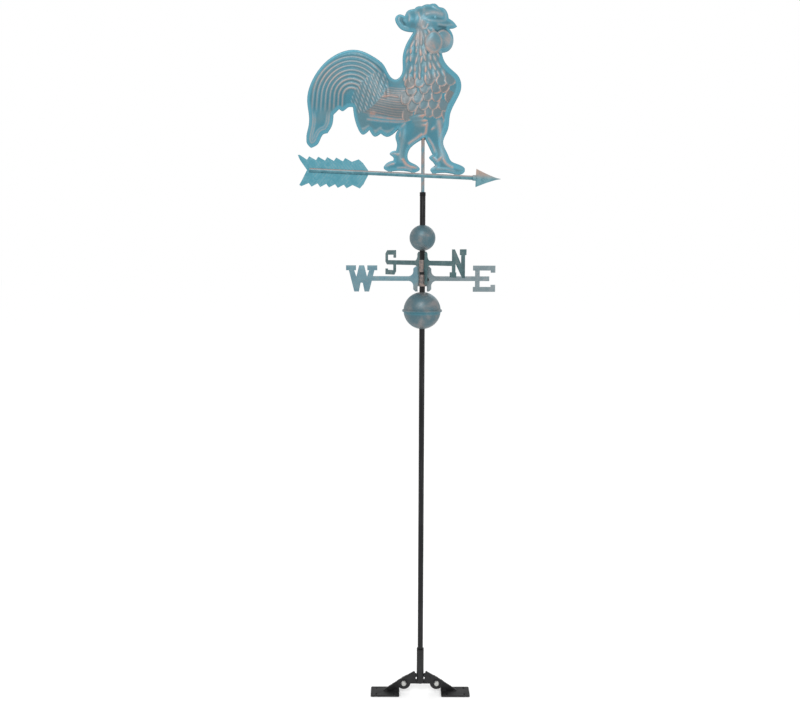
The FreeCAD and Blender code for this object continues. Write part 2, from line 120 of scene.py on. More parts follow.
def new_object(name, data):
    """An object with the given mesh or camera, placed in the scene."""
    made = bpy.data.objects.new(name, data)
    bpy.context.scene.collection.objects.link(made)
    return made


def soft_shade(piece, degrees):
    take_up(piece)
    bpy.ops.object.shade_smooth_by_angle(angle=math.radians(degrees))


def hand_over(piece, body, finish_slot, finish, *stands_for):
    """The piece moves with its body, takes its finish and stands for its engineering parts."""
    piece.data.materials.clear()
    piece.data.materials.append(finish)
    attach(piece, body)
    if stands_for:
        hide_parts(*stands_for)
    print(f"{piece.name:24s} {len(piece.data.polygons):7d} faces  on {body}")


# %% [markdown]
# ## Floor, light and camera
# The vane is shown in a bright white studio: a wide pale floor, a large soft light in front and
# above, a weaker one on the far side, and an even white surrounding. The camera stands a little to
# the left of the mast, above its middle, and looks slightly down. A small lens shift keeps the
# mast upright while the whole height stays in the frame.

# %% Floor
floor_gap = 0.6 * MM
put_down()
bpy.ops.mesh.primitive_plane_add(size=60, location=(0, 0, -floor_gap))
floor = bpy.context.object
floor.name = "studio_floor"


def paint(code):
    """A colour written as six hexadecimal digits, as the linear values that shaders use."""
    channels = [int(code[i:i + 2], 16) / 255 for i in (0, 2, 4)]
    straight = [c / 12.92 if c <= 0.04045 else ((c + 0.055) / 1.055) ** 2.4 for c in channels]
    return (*straight, 1.0)


def fill_in(node, **values):
    """Sets a node's inputs, named with _ for each space."""
    for name, value in values.items():
        node.inputs[name.replace("_", " ")].default_value = value


def new_finish(name, colour, metallic, roughness, specular=0.5):
    """A material and its shader, with the fixed values set. Patterns are wired to the shader."""
    finish = bpy.data.materials.new(name)
    finish.use_nodes = True
    shader = finish.node_tree.nodes["Principled BSDF"]
    fill_in(shader, Base_Color=paint(colour), Metallic=metallic, Roughness=roughness,
            Specular_IOR_Level=specular)
    finish.diffuse_color = paint(colour)
    return finish, shader


floor.data.materials.append(new_finish("studio_white", "ffffff", 0.0, 1.0, specular=0.0)[0])

# %% Lights
world = bpy.data.worlds.new("studio")
world.use_nodes = True
fill_in(world.node_tree.nodes["Background"], Color=paint("ffffff"), Strength=1.0)
bpy.context.scene.world = world
bpy.context.scene.view_settings.view_transform = "Standard"


def soft_light(name, place, target, size, watts):
    put_down()
    bpy.ops.object.light_add(type="AREA", location=place)
    lamp = bpy.context.object
    lamp.name = name
    lamp.data.shape = "SQUARE"
    lamp.data.size = size
    lamp.data.energy = watts
    lamp.rotation_euler = (Vector(target) - Vector(place)).to_track_quat("-Z", "Y").to_euler()


middle = (0, 0, 1.1)
soft_light("key_light", (-0.5, -2.6, 3.3), middle, 1.2, 40)
soft_light("fill_light", (2.6, -2.2, 1.5), middle, 1.6, 8)
soft_light("back_light", (1.2, 2.6, 2.8), middle, 1.6, 12)

# %% Camera
picture_width = 800
focal_in_picture = 700
sensor = 36.0
camera_data = bpy.data.cameras.new("camera")
camera_data.sensor_width = sensor
camera_data.lens = sensor * focal_in_picture / picture_width
camera_data.shift_y = -0.05
camera = new_object("camera", camera_data)
camera.location = (-0.0630, -1.978, 1.294)
camera.rotation_euler = (math.radians(85.0), math.radians(-0.15), 0)
bpy.context.scene.camera = camera
print("lens", round(camera_data.lens, 2), "mm")

# %% [markdown]
# ## Building blocks for finishes
# Every surface here is paint, patina or plating with some life in it: colour that wanders,
# speckle, wear. Each is a small net of nodes on the piece's own coordinates, so the pattern
# stays on the metal when the piece turns.


# %% Pattern helpers
def add_node(beside, kind, **settings):
    """A new node in the same net as a given node or socket."""
    node = beside.id_data.nodes.new(kind)
    for name, value in settings.items():
        setattr(node, name, value)
    return node


def wire(source, socket):
    """Links an output to an input, or writes a fixed value into the input."""
    if hasattr(source, "is_output"):
        socket.id_data.links.new(source, socket)
    else:
        socket.default_value = source


def metal_place(shader, stretch=(1, 1, 1), turn=(0, 0, 0), shift=(0, 0, 0)):
    """The place of each point on its own piece, stretched where a pattern has a direction."""
    mapping = add_node(shader, "ShaderNodeMapping")
    wire(add_node(shader, "ShaderNodeTexCoord").outputs["Object"], mapping.inputs["Vector"])
    fill_in(mapping, Scale=stretch, Rotation=turn, Location=shift)
    return mapping.outputs["Vector"]


def mottle(place, scale, detail=4.0, roughness=0.6, distortion=0.0):
    noise = add_node(place, "ShaderNodeTexNoise")
    wire(place, noise.inputs["Vector"])
    fill_in(noise, Scale=scale, Detail=detail, Roughness=roughness, Distortion=distortion)
    return noise.outputs["Fac"]


def split_places(place):
    """The three coordinates of a place."""
    split = add_node(place, "ShaderNodeSeparateXYZ")
    wire(place, split.inputs["Vector"])
    return split.outputs


def between(value, low, high, to_low=0.0, to_high=1.0):
    """Turns values from low to high into a smooth step."""
    step = add_node(value, "ShaderNodeMapRange", interpolation_type="SMOOTHSTEP")
    wire(value, step.inputs["Value"])
    fill_in(step, From_Min=low, From_Max=high, To_Min=to_low, To_Max=to_high)
    return step.outputs["Result"]


def calculate(operation, *values, clamp=False):
    node = add_node(values[0], "ShaderNodeMath", operation=operation, use_clamp=clamp)
    for value, socket in zip(values, node.inputs):
        wire(value, socket)
    return node.outputs[0]


def product(first, second):
    return calculate("MULTIPLY", first, second, clamp=True)


def lay_over(amount, under, over):
    """One colour over another, by an amount from 0 to 1."""
    node = add_node(amount, "ShaderNodeMix", data_type="RGBA")
    factor, under_socket, over_socket = (node.inputs[k] for k in (0, 6, 7))
    wire(amount, factor)
    for socket, colour in ((under_socket, under), (over_socket, over)):
        wire(paint(colour) if isinstance(colour, str) else colour, socket)
    return node.outputs[2]


def pressed(shader, name):
    """A value stored on the piece's own points."""
    return add_node(shader, "ShaderNodeAttribute", attribute_name=name).outputs["Fac"]


def grain(shader, height, depth, strength=1.0):
    """Fine relief that is too small to model."""
    bump = add_node(shader, "ShaderNodeBump")
    fill_in(bump, Strength=strength, Distance=depth)
    wire(height, bump.inputs["Height"])
    wire(bump.outputs["Normal"], shader.inputs["Normal"])


def dress(shader, colour, roughness=None, relief=None):
    """Wires up the colour and, where given, the roughness and the fine relief."""
    wire(colour, shader.inputs["Base Color"])
    if roughness is not None:
        wire(roughness, shader.inputs["Roughness"])
    if relief is not None:
        grain(shader, *relief)


# %% [markdown]
# ## Patina on the rooster
# The rooster is painted like weathered copper: blue-green in the hollows and over the smooth rim,
# with the hollows darkened further, partly patina and partly painted shade, and rubbed back to
# pinkish grey and warm copper on the raised feathers. The relief below stores how high and how
# rubbed each point is, and this finish reads those values, so colour follows shape.

# %% Figure patina
figure_patina, shader = new_finish("patina_figure", "5a9fb0", 0.25, 0.42)
place = metal_place(shader)
wander = between(mottle(place, 16.0), 0.38, 0.66)
speckle = mottle(place, 150.0, 3.0)
worn = product(pressed(shader, "rubbed"), between(speckle, 0.25, 0.6, 0.55, 1.0))
hot = product(pressed(shader, "warm"), between(mottle(place, 70.0, 3.0), 0.35, 0.6, 0.3, 1.0))
colour = lay_over(wander, "3f7f90", "577c86")
colour = lay_over(product(pressed(shader, "tarnish"), 0.75), colour, "665d59")
# the low parts of the relief turn dark teal: partly patina, partly painted shade in the hollows
colour = lay_over(between(pressed(shader, "raised"), 0.1, 0.7), "27535f", colour)
colour = lay_over(worn, colour, "b3988d")
colour = lay_over(hot, colour, "b9785a")
colour = lay_over(product(pressed(shader, "rim"), 0.55), colour, "5699ab")
colour = lay_over(product(pressed(shader, "edge"), 0.75), colour, "447f90")
dress(shader, colour, between(speckle, 0.3, 0.7, 0.36, 0.5), (speckle, 0.0003, 0.35))
print("figure patina:", len(shader.id_data.nodes), "nodes")

# %% [markdown]
# ## The rooster's outline
# Each half of the rooster is one sheet, cut along this outline and pressed in a die. The outline
# is a chain of smooth runs that meet at corners, such as the points of the comb. It is measured
# in millimetres from the spindle, u forward along the arrow and w up. A curve drawn through the
# corners of each run keeps the curves fair, as a flexible batten would. Each run starts where the
# run before it ends, and the first one starts where the last one ends.

# %% Outline
foot_rest = 6.2
outline_runs = (
    # tail, back and neck
    ((-323, 69), (-322, 127), (-329, 189), (-312, 254), (-262, 311), (-200, 331), (-149, 314),
     (-121, 293), (-103, 265), (-88, 257), (-75, 266), (-71, 310), (-63, 352), (-45, 385)),
    # rear lobe of the comb, then its points
    ((-61, 386), (-78, 391), (-91, 404), (-96, 421), (-87, 430), (-70, 427)),
    ((-65, 439), (-45, 447)),
    ((-38, 453), (-25, 455)),
    ((-15, 460), (-3, 461)),
    ((8, 464), (22, 455)),
    ((36, 452), (46, 440), (50, 426)),
    # beak and wattles
    ((62, 419), (74, 406)),
    ((66, 401), (53, 399)),
    ((62, 386), (66, 369), (62, 350), (52, 339), (36, 334)),
    # throat, breast and front of the leading leg
    ((42, 316), (66, 290), (86, 272), (94, 243), (85, 214), (67, 168), (63, 128),
     (52, 93), (67, 60), (75, 45), (103, 33), (117, 21), (111, 10), (95, foot_rest)),
    ((62, 10), (28, foot_rest)),
    ((20, 15), (33, 29)),
    # spur and crotch
    ((25, 39), (15, 50), (24, 58)),
    ((10, 84), (0, 102)),
    # trailing leg
    ((-25, 86), (-43, 64), (-42, 40), (-17, 26), (-9, 17), (-25, foot_rest)),
    ((-60, 10), (-95, foot_rest)),
    ((-110, 16), (-103, 28), (-84, 37)),
    ((-84, 45), (-95, 55), (-89, 62), (-78, 64)),
    ((-76, 84), (-81, 100), (-74, 123)),
    # saddle feathers along the belly
    ((-92, 106), (-103, 101), (-122, 109)),
    ((-138, 100), (-154, 117)),
    ((-172, 104), (-186, 120), (-202, 177)),
    # underside of the tail
    ((-215, 176), (-231, 165), (-240, 170)),
    ((-255, 154),),
    ((-258, 125), (-270, 103)),
    ((-279, 101), (-295, 73), (-314, 61)),
)


def batten(corners, step):
    """A natural cubic curve through the corners, as points about one step apart."""
    corners = np.array(corners, float)
    along = np.concatenate([[0], np.cumsum(np.linalg.norm(np.diff(corners, axis=0), axis=1))])
    count = len(corners)
    gaps = np.diff(along)
    system, known = np.eye(count), np.zeros((count, 2))
    for i in range(1, count - 1):
        system[i, i - 1:i + 2] = gaps[i - 1], 2 * (gaps[i - 1] + gaps[i]), gaps[i]
        known[i] = 6 * ((corners[i + 1] - corners[i]) / gaps[i] - (corners[i] - corners[i - 1]) / gaps[i - 1])
    bend = np.linalg.solve(system, known)
    places = np.linspace(0, along[-1], max(2, int(along[-1] / step) + 1))[:-1]
    span = np.clip(np.searchsorted(along, places, side="right") - 1, 0, count - 2)
    gap, after, before = gaps[span], along[span + 1] - places, places - along[span]
    gap, after, before = gap[:, None], after[:, None], before[:, None]
    first, second = bend[span], bend[span + 1]
    return ((first * after ** 3 + second * before ** 3) / (6 * gap)
            + (corners[span] / gap - first * gap / 6) * after
            + (corners[span + 1] / gap - second * gap / 6) * before)


outline_step = 2.0
run_starts = [run[-1] for run in outline_runs[-1:] + outline_runs[:-1]]
outline = np.concatenate([batten((start, *run), outline_step)
                          for start, run in zip(run_starts, outline_runs)])
print("outline:", len(outline), "points")

# %% [markdown]
# ## A fine sheet inside the outline
# A pressed relief needs an even net of small triangles. Points in rows, each row half a step
# along from the last, are kept where they fall inside the outline, and a constrained
# triangulation joins them to it. That gives cleaner ground for pressing than any cut primitive.


# %% Triangulated sheet
def inside_outline(points):
    """Which points lie inside the outline, by counting the edges that a ray crosses."""
    found = np.zeros(len(points), bool)
    start, end = outline, np.roll(outline, -1, axis=0)
    for (u0, w0), (u1, w1) in zip(start, end):
        if w0 != w1:
            crosses = (w0 > points[:, 1]) != (w1 > points[:, 1])
            found ^= crosses & (points[:, 0] < (u1 - u0) * (points[:, 1] - w0) / (w1 - w0) + u0)
    return found


def distances_to(line, points, closed=False):
    """The distance from each point to a chain of straight pieces."""
    line = np.array(line, float)
    ends = np.roll(line, -1, axis=0) if closed else line[1:]
    nearest = np.full(len(points), 1e9)
    for start, end in zip(line, ends):
        way = end - start
        share = np.clip(((points - start) @ way) / max(way @ way, 1e-9), 0, 1)
        nearest = np.minimum(nearest, np.linalg.norm(points - start - share[:, None] * way, axis=1))
    return nearest


net_step = 1.9
low, high = outline.min(0), outline.max(0)
rows = np.arange(low[1], high[1], net_step * math.sqrt(3) / 2)


def net_row(number, level):
    across = np.arange(low[0] + (number % 2) * net_step / 2, high[0], net_step)
    return np.stack([across, np.full(len(across), level)], axis=1)


net = np.concatenate([net_row(number, level) for number, level in enumerate(rows)])
net = net[inside_outline(net)]
net = net[distances_to(outline, net, closed=True) > 0.6 * net_step]
count = len(outline)
flat_points = [Vector(p) for p in np.concatenate([outline, net])]
ring = [(i, (i + 1) % count) for i in range(count)]
made = geometry.delaunay_2d_cdt(flat_points, ring, [], 1, 1e-5)
sheet = np.array([tuple(p) for p in made[0]])
triangles = [tuple(t) for t in made[2]]
print("sheet:", len(sheet), "points", len(triangles), "triangles")

# %% [markdown]
# ## Inflating the sheet
# The die presses each half into a shallow cushion inside a flat rim. The height follows the
# distance from the outline and levels off in the middle, so legs and beak stay slim while the
# body is full. Smoothing over neighbours rounds the creases that such a rule leaves.

# %% Body of the relief
u, w = sheet[:, 0], sheet[:, 1]
sheet_thickness = 1.0
rim_width = 6.0
deepest = 26.0


def ramp(value, low, high):
    """A smooth step: 0 up to low, 1 from high on."""
    share = np.clip((value - low) / (high - low), 0, 1)
    return share * share * (3 - 2 * share)


def round_patch(middle_u, middle_w, reach_u, reach_w):
    """1 at the middle of a soft oval and 0 outside it."""
    return np.exp(-((u - middle_u) / reach_u) ** 2 - ((w - middle_w) / reach_w) ** 2)


edges = np.array([(t[i], t[(i + 1) % 3]) for t in triangles for i in range(3)])
neighbours = np.bincount(edges.ravel(), minlength=len(sheet)).astype(float)


def smoothed(values, rounds):
    for _ in range(rounds):
        total = np.bincount(edges[:, 0], values[edges[:, 1]], len(sheet))
        total += np.bincount(edges[:, 1], values[edges[:, 0]], len(sheet))
        values = total / neighbours
    return values


from_edge = distances_to(outline, sheet, closed=True)
inward = np.clip(from_edge - rim_width, 0, None)
fullness = 1 - 0.45 * ramp(-u, 120, 190)
cushion = (deepest - 5) * fullness * (1 - np.exp(-inward / 27))
cushion = smoothed(cushion, 45)
shelf = 2.2 * ramp(from_edge, rim_width - 1.5, rim_width + 2.5)
print("cushion up to", round(float(cushion.max()), 1), "mm")

# %% [markdown]
# ## Pressed detail
# On top of the cushion come the small shapes: raised lines, feathers and wattles. Four stores go
# with them. Relief is height in millimetres, rubbed is where the patina is worn to pinkish grey,
# warm is where bare copper glows, and tarnish is where the metal has gone brown.

# %% Stores and the raised line
relief, rubbed, warm, tarnish = (np.zeros(len(sheet)) for _ in range(4))
chance = np.random.default_rng(7)


def at_least(store, values):
    """Lifts a store to the given values where it is below them."""
    np.maximum(store, values, out=store)


def raised_line(line, width, height, rub=0.0, glow=0.0):
    """A soft ridge, or a groove if the height is below 0, along a line."""
    line = np.array(line, float)
    margin = 3 * width
    close = np.flatnonzero(np.all((sheet > line.min(0) - margin) & (sheet < line.max(0) + margin), axis=1))
    profile = np.exp(-(distances_to(line, sheet[close]) / width) ** 2)
    relief[close] += height * profile
    rubbed[close] = np.maximum(rubbed[close], rub * profile)
    warm[close] = np.maximum(warm[close], glow * profile)


def raised_lines(*lines):
    """Presses several lines, each given with its width, height, rub and glow."""
    for settings in lines:
        raised_line(*settings)


# %% [markdown]
# ### Tail
# The sickle feathers run round the tail in nested arcs and hang straight down on the far left.
# Distance from a centre gives the arcs, and below the centre only the sideways distance counts,
# which turns each arc into a hanging streak. Each crest is rubbed along a thin line.

# %% Tail feathers
tail_centre = (-207.0, 203.0)
vane_pitch = 11.8
below_centre = w < tail_centre[1]
arc_reach = np.where(below_centre, np.abs(u - tail_centre[0]),
                     np.hypot(u - tail_centre[0], w - tail_centre[1]))
wavering = 1.2 * np.sin(w / 31.0) + 0.9 * np.sin(u / 23.0 + 1.0)
turns = (arc_reach + wavering) / vane_pitch
crest = 0.5 + 0.5 * np.cos(2 * math.pi * turns)
patch_lean = math.radians(50)
patch_along = (u + 158) * math.cos(patch_lean) + (w - 217) * math.sin(patch_lean)
patch_across = (w - 217) * math.cos(patch_lean) - (u + 158) * math.sin(patch_lean)
hatch_patch = (patch_along / 64) ** 2 + (patch_across / 33) ** 2
tail_part = ramp(-u, 98, 112) * ramp(arc_reach, 14, 22)
tail_part *= np.where(below_centre, ramp(-u, 206, 214) * ramp(w, 150, 182), 1.0)
tail_part *= np.where(u > tail_centre[0], ramp(w + 0.35 * u, 135, 155), 1.0)
tail_part *= ramp(hatch_patch, 0.85, 1.15) * ramp(from_edge, 5, 9)
relief += tail_part * (1.7 * crest - 0.6)
at_least(tarnish, tail_part * 0.5 * ramp(crest, 0.2, 0.6))
crest_rub = 0.42 + 0.16 * np.sin(u / 37 + w / 29)
at_least(rubbed, tail_part * crest_rub * ramp(crest, 0.7, 1.0))
# the long edge feather that follows the outline down to the tip
hanging_part = ramp(-u, 225, 250) * ramp(170 - w, 0, 30)
for offset, height, rub in ((11.0, 1.0, 0.45), (17.0, 0.7, 0.3)):
    profile = np.exp(-((from_edge - offset) / 2.0) ** 2) * hanging_part
    relief += height * profile
    at_least(rubbed, rub * profile)

# the patch of short slanting flecks where the tail meets the saddle
slant = math.radians(-64)
along_fleck = u * math.cos(slant) + w * math.sin(slant)
across_fleck = -u * math.sin(slant) + w * math.cos(slant)
fleck_width, fleck_length = 7.0, 24.0
row = np.floor(across_fleck / fleck_width)
fleck = (0.5 - 0.5 * np.cos(2 * math.pi * across_fleck / fleck_width)) ** 1.2
fleck *= 0.45 + 0.55 * (0.5 + 0.5 * np.sin(2 * math.pi * along_fleck / fleck_length + 2.4 * row)) ** 0.6
fleck_part = 1 - ramp(hatch_patch, 0.9, 1.2)
relief += fleck_part * (2.2 * fleck - 0.4)
at_least(tarnish, fleck_part * 0.6 * (1 - fleck))
at_least(rubbed, fleck_part * 0.6 * ramp(fleck, 0.6, 0.95))
at_least(warm, fleck_part * 0.45 * ramp(fleck, 0.8, 1.0)
         * ramp(np.sin(row * 1.7), 0.2, 0.8))
print("tail: arcs every", vane_pitch, "mm")

# %% [markdown]
# ### Wing and saddle
# Long narrow flight feathers sweep back from the shoulder, nearly level. They are fine, shallow
# lines with a brown tarnish over them, fading to smooth blue-green along the belly.

# %% Flight feathers
droop = w - 188 - 0.0009 * (u + 60) ** 2 + 0.05 * (u + 110) + 2.2 * np.sin(u / 29)
line_pitch = 6.3
flight_part = (ramp(u, -196, -176) * ramp(-u, 36, 60)
               * ramp(droop, -46, -30) * ramp(-droop, -52, -34))
flight_part *= ramp(hatch_patch, 0.9, 1.25)
flight = 0.5 + 0.5 * np.cos(2 * math.pi * (droop + 1.3 * np.sin(u / 17)) / line_pitch)
relief += flight_part * (0.9 * flight - 0.2)
at_least(tarnish, flight_part * 0.95)
at_least(rubbed, flight_part * 0.2 * ramp(flight, 0.55, 0.95))
at_least(warm, flight_part * 0.35 * ramp(flight, 0.7, 1.0)
         * ramp(np.sin(u / 19 + np.floor(droop / line_pitch) * 2.1), 0.3, 0.9))
at_least(warm, 0.95 * round_patch(-147, 158, 7, 6))
relief += 1.5 * round_patch(-147, 158, 8, 7)
raised_lines((((-152, 152), (-115, 148), (-72, 147), (-38, 149)), 2.2, 1.3, 0.3, 0.5),
             (((-160, 144), (-120, 140), (-80, 140), (-55, 142)), 2.2, 1.3, 0.3, 0.25),
             (((-120, 205), (-100, 209), (-80, 206)), 2.2, 1.3, 0.3, 0.4))

# the scalloped saddle feathers that end in points along the belly
for tip_u, tip_w in ((-176, 108), (-142, 104), (-106, 104)):
    for reach, lift in ((11, 0.9), (19, 0.7)):
        raised_line(((tip_u - reach, tip_w + reach * 0.9), (tip_u - reach * 0.35, tip_w + reach * 0.55),
                     (tip_u + reach * 0.45, tip_w + reach * 0.6), (tip_u + reach, tip_w + reach)),
                    2.6, lift, rub=0.28)

# %% [markdown]
# ### Feathers that overlap
# Breast feathers are round and lie like roof tiles. Neck hackles are long and pointed. One
# routine presses either kind: it rises towards the tip, where its edge stands clear of the
# feather below, and it wipes out what it covers. So the lowest row is pressed first.


# %% One feather
def feather(tip, heading, length, width, pointed, lift, rub=0.0, glow=0.0, stain=0.3):
    """Presses a feather whose tip points along a heading, in degrees from forwards, upwards."""
    ahead = np.array([math.cos(math.radians(heading)), math.sin(math.radians(heading))])
    aside = np.array([-ahead[1], ahead[0]])
    from_root = (sheet - np.array(tip, float)) @ ahead + length
    off_line = (sheet - np.array(tip, float)) @ aside
    share = np.clip(from_root / length, 0, 1)
    if pointed:
        half = width / 2 * np.minimum(1, 0.65 + share) * np.clip(2.6 * (1 - share), 0, 1) ** 0.75
    else:
        half = width / 2 * np.sqrt(np.clip(1 - np.clip((share - 0.45) / 0.55, 0, 1) ** 2, 0, 1))
    covered = np.flatnonzero((from_root > 0) & (from_root < length) & (np.abs(off_line) < half))
    if not len(covered):
        return
    spread = np.abs(off_line[covered]) / np.maximum(half[covered], 0.1)
    s = share[covered]
    crown = lift * (0.15 + 0.85 * s ** 1.5) * (1 - 0.45 * spread ** 2)
    rim = np.exp(-((1 - spread) * half[covered] / 3.0) ** 2) * ramp(s, 0.1, 0.5)
    if pointed:
        quill = np.exp(-(off_line[covered] / (0.2 * width)) ** 2)
        relief[covered] = crown * (0.35 + 0.65 * quill)
        rubbed[covered] = rub * quill * ramp(s, 0.4, 0.8)
        warm[covered] = max(glow, 0.0) * quill * ramp(s, 0.5, 0.9)
    else:
        relief[covered] = crown + 1.5 * rim
        rubbed[covered] = rub * rim
        warm[covered] = max(glow, 0.0) * rim * ramp(s, 0.3, 0.8)
    tarnish[covered] = stain


# %% [markdown]
# ### Breast
# The rows of round feathers start low and work up towards the shoulder, each row half a feather
# along. They point back and down. A smooth band is left along the front of the breast.

# %% Breast feathers
breast_rows = 5
feather_size = 31.0
for row_number in range(breast_rows):
    row_w = 160 + row_number * 22.0
    first = -56 + (row_number % 2) * 14.0
    for k in range(5):
        tip_u = first + k * 28.0 + chance.uniform(-4, 4)
        tip_w = row_w + 0.10 * (tip_u + 50) - 0.0016 * (tip_u - 10) ** 2 + chance.uniform(-2.5, 2.5)
        front = 92 - rim_width - 12 if tip_w > 200 else 66 + 0.35 * (tip_w - 150)
        if tip_u + 12 > front or tip_u < -62:
            continue
        feather((tip_u, tip_w - 12), 248 + chance.uniform(-16, 16),
                feather_size * chance.uniform(0.9, 1.15), feather_size * chance.uniform(0.85, 1.05),
                False, 4.6, rub=chance.uniform(0.75, 1.0), glow=chance.uniform(-0.2, 0.6),
                stain=chance.uniform(0.55, 1.0))
# a few long feathers where the breast runs into the thighs
for tip, heading, length, width, glow in (((4, 135), 2, 34, 13, 0.6), ((6, 147), 6, 42, 13, 0.7),
                                          ((-2, 160), 12, 44, 13, 0.7), ((38, 138), 40, 30, 13, 0.5),
                                          ((16, 123), 215, 30, 12, 0.4), ((54, 158), 70, 30, 13, 0.5)):
    feather(tip, heading, length, width, True, 3.0, rub=0.6, glow=glow)

# %% [markdown]
# ### Neck
# Hackles fan out from the back of the head and end in a zig-zag over the breast. Working from
# the lowest row upwards, every row is shorter and set half a feather to the side.

# %% Hackle feathers
fan_root = np.array((-28.0, 459.0))
hackle_width = 14.5
copper_rows = 4
fan_back, fan_front = -0.31, 0.43
for row_number, reach in enumerate((208, 184, 161, 139, 118, 98)):
    step = hackle_width * 0.98 / reach
    first = fan_back + (row_number % 2) * step / 2
    for k in range(int((fan_front - fan_back) / step) + 1):
        swing = first + k * step
        far = reach + chance.uniform(-5, 5) - 26 * max(0.0, swing - 0.12)
        tip = fan_root + far * np.array((math.sin(swing), -math.cos(swing)))
        feather(tip, math.degrees(swing) - 90 + chance.uniform(-12, 12), 42 + chance.uniform(-5, 7),
                hackle_width * chance.uniform(0.8, 1.2), True, 5.0, rub=chance.uniform(0.5, 1.0),
                glow=chance.uniform(-0.5, 0.45) if row_number < copper_rows else 0)
warm = np.clip(warm, 0, 1)

# the smooth band along the back of the neck, the throat, the breast and the front leg
plain_rim = np.where((u > 30) & (w < 330) & (w > 20), 13.0, 7.5)
inner = ramp(from_edge, plain_rim - 1.0, plain_rim + 3.5)
for store in (relief, rubbed, warm, tarnish):
    store *= inner

# %% [markdown]
# ### Head
# Two wattles hang under the beak, the near one overlapping the other, each with a pale copper blush
# that is partly a painted highlight. The comb has soft ribs, and the eye sits under a raised brow
# whose pale rubbed colour is a painted highlight.


# %% Head details
def wattle(middle_u, middle_w, half_u, half_w, lift, highlight_blush_u, highlight_blush_w):
    """A smooth oval drop with a groove round it and a copper blush, partly a painted highlight, in one place.
    """
    narrowed = half_u * (1 - 0.35 * np.clip((w - middle_w) / half_w, 0, 1) ** 2)
    spread = np.hypot((u - middle_u) / narrowed, (w - middle_w) / half_w)
    within = np.flatnonzero(spread < 1)
    ring_out = spread[within]
    relief[within] = lift * np.sqrt(1 - ring_out ** 2) + 1.3 * np.exp(-((ring_out - 0.88) / 0.07) ** 2)
    rubbed[within] = 0.55 * np.exp(-((ring_out - 0.9) / 0.1) ** 2)
    # the pale copper blush: partly copper colour, partly a painted highlight
    rubbed[within] += 0.5 * round_patch(highlight_blush_u, highlight_blush_w, half_u * 0.5, half_w * 0.55)[within]
    tarnish[within] = 0.35
    groove = np.exp(-((spread - 1.04) / 0.07) ** 2)
    np.subtract(relief, 1.6 * groove, out=relief)


clear_head = ramp(w, 385, 397) * ramp(w - 0.5 * u, 370, 392)
for store in (relief, rubbed, warm):
    store *= 1 - clear_head
wattle(38, 362, 29, 31, 4.5, 54, 366)
wattle(11, 357, 25, 30, 7.5, 2, 346)
at_least(rubbed, 0.6 * round_patch(-29, 372, 11, 22) * (relief < 3))
at_least(rubbed, 0.5 * round_patch(-24, 404, 10, 14))
raised_lines(
    (((-22, 413), (-24.3, 402), (-21, 392), (-12, 392), (-7, 402)), 2.8, 2.2, 0.6),
    # the brow, rubbed pale as a painted highlight
    (((-12, 431), (8, 436), (30, 433)), 6.5, 4.6, 0.4),
    (((-14, 421), (8, 424), (30, 421)), 3.0, -0.5, 0.0),
    (((-24, 423), (-2, 413), (24, 413), (40, 419)), 3.2, 0.8, 0.2),
    (((24, 400), (50, 401), (73, 407)), 2.0, -1.5, 0.0),
    (((22, 405), (48, 406), (64, 409)), 2.6, 1.0, 0.25),
    (((-34, 434), (-28, 418), (-31, 400)), 3.2, 1.6, 0.45),
    (((-63, 436), (-57, 424), (-58, 412)), 3.0, 1.8, 0.35),
    (((-42, 443), (-38, 428), (-40, 410)), 3.0, 1.2, 0.15),
    (((-20, 452), (-18, 440), (-22, 428)), 3.0, 1.3, 0.2),
    (((3, 457), (14, 450), (24, 442)), 2.6, 1.8, 0.3),
    (((38, 447), (41, 436), (42, 424)), 3.2, 1.6, 0.4),
    (((-86, 424), (-88, 410), (-78, 396), (-60, 392)), 2.6, 1.5, 0.3),
    (((-76, 424), (-79, 412), (-70, 402)), 2.4, -1.2, 0.0))
eye = np.hypot(u - 14, w - 423)
relief += 1.2 * np.sqrt(np.clip(1 - (eye / 3.6) ** 2, 0, 1)) - 0.3 * np.exp(-((eye - 4.6) / 1.0) ** 2)

# %% [markdown]
# ### Legs and feet
# The thighs are plain, with a copper line down the inner edge. Each foot is a long boat shape
# with toes worn bright, and a spur stands off behind.

# %% Legs and feet
raised_lines(
    (((-41, 85), (-26, 96), (-9, 110)), 3.6, 1.8, 0.7, 0.4),
    (((-4, 108), (2, 116), (3, 126), (4, 140)), 2.8, 1.6, 0.6, 0.4),
    (((-60, 130), (-61, 96), (-67, 62), (-64, 38)), 5.0, 2.0, 0.12, 0.0),
    (((-57, 136), (-70, 124), (-69, 104)), 3.0, 1.2, 0.45, 0.0),
    (((-57, 40), (-47, 27), (-36, 22), (-19, 21)), 3.6, 3.0, 0.7, 0.6),
    (((-71, 17), (-50, 18), (-34, 14)), 2.4, 1.2, 0.4, 0.6),
    (((-103, 21), (-94, 26), (-83, 29)), 3.0, 2.0, 0.6, 0.6),
    (((-90, 55), (-80, 57), (-72, 54)), 3.2, 2.0, 0.75, 0.25),
    (((37, 146), (45, 102), (54, 60), (58, 44)), 5.5, 2.2, 0.5, 0.12),
    (((56, 44), (62, 36), (72, 30), (80, 26)), 3.6, 2.6, 0.85, 0.3),
    (((84, 32), (98, 27), (108, 20)), 4.0, 1.8, 0.0, 0.0),
    (((20, 19), (26, 24), (35, 27)), 3.0, 2.0, 0.6, 0.6),
    (((40, 20), (62, 20), (86, 14)), 3.0, 1.6, 0.25, 0.1),
    (((26, 50), (38, 40), (48, 50)), 3.0, 1.6, 0.5, 0.6),
    (((10, 100), (22, 84), (30, 66)), 3.2, 1.4, 0.6, 0.25),
    (((72, 44), (64, 62), (58, 92)), 2.6, 1.0, 0.1, 0.0))

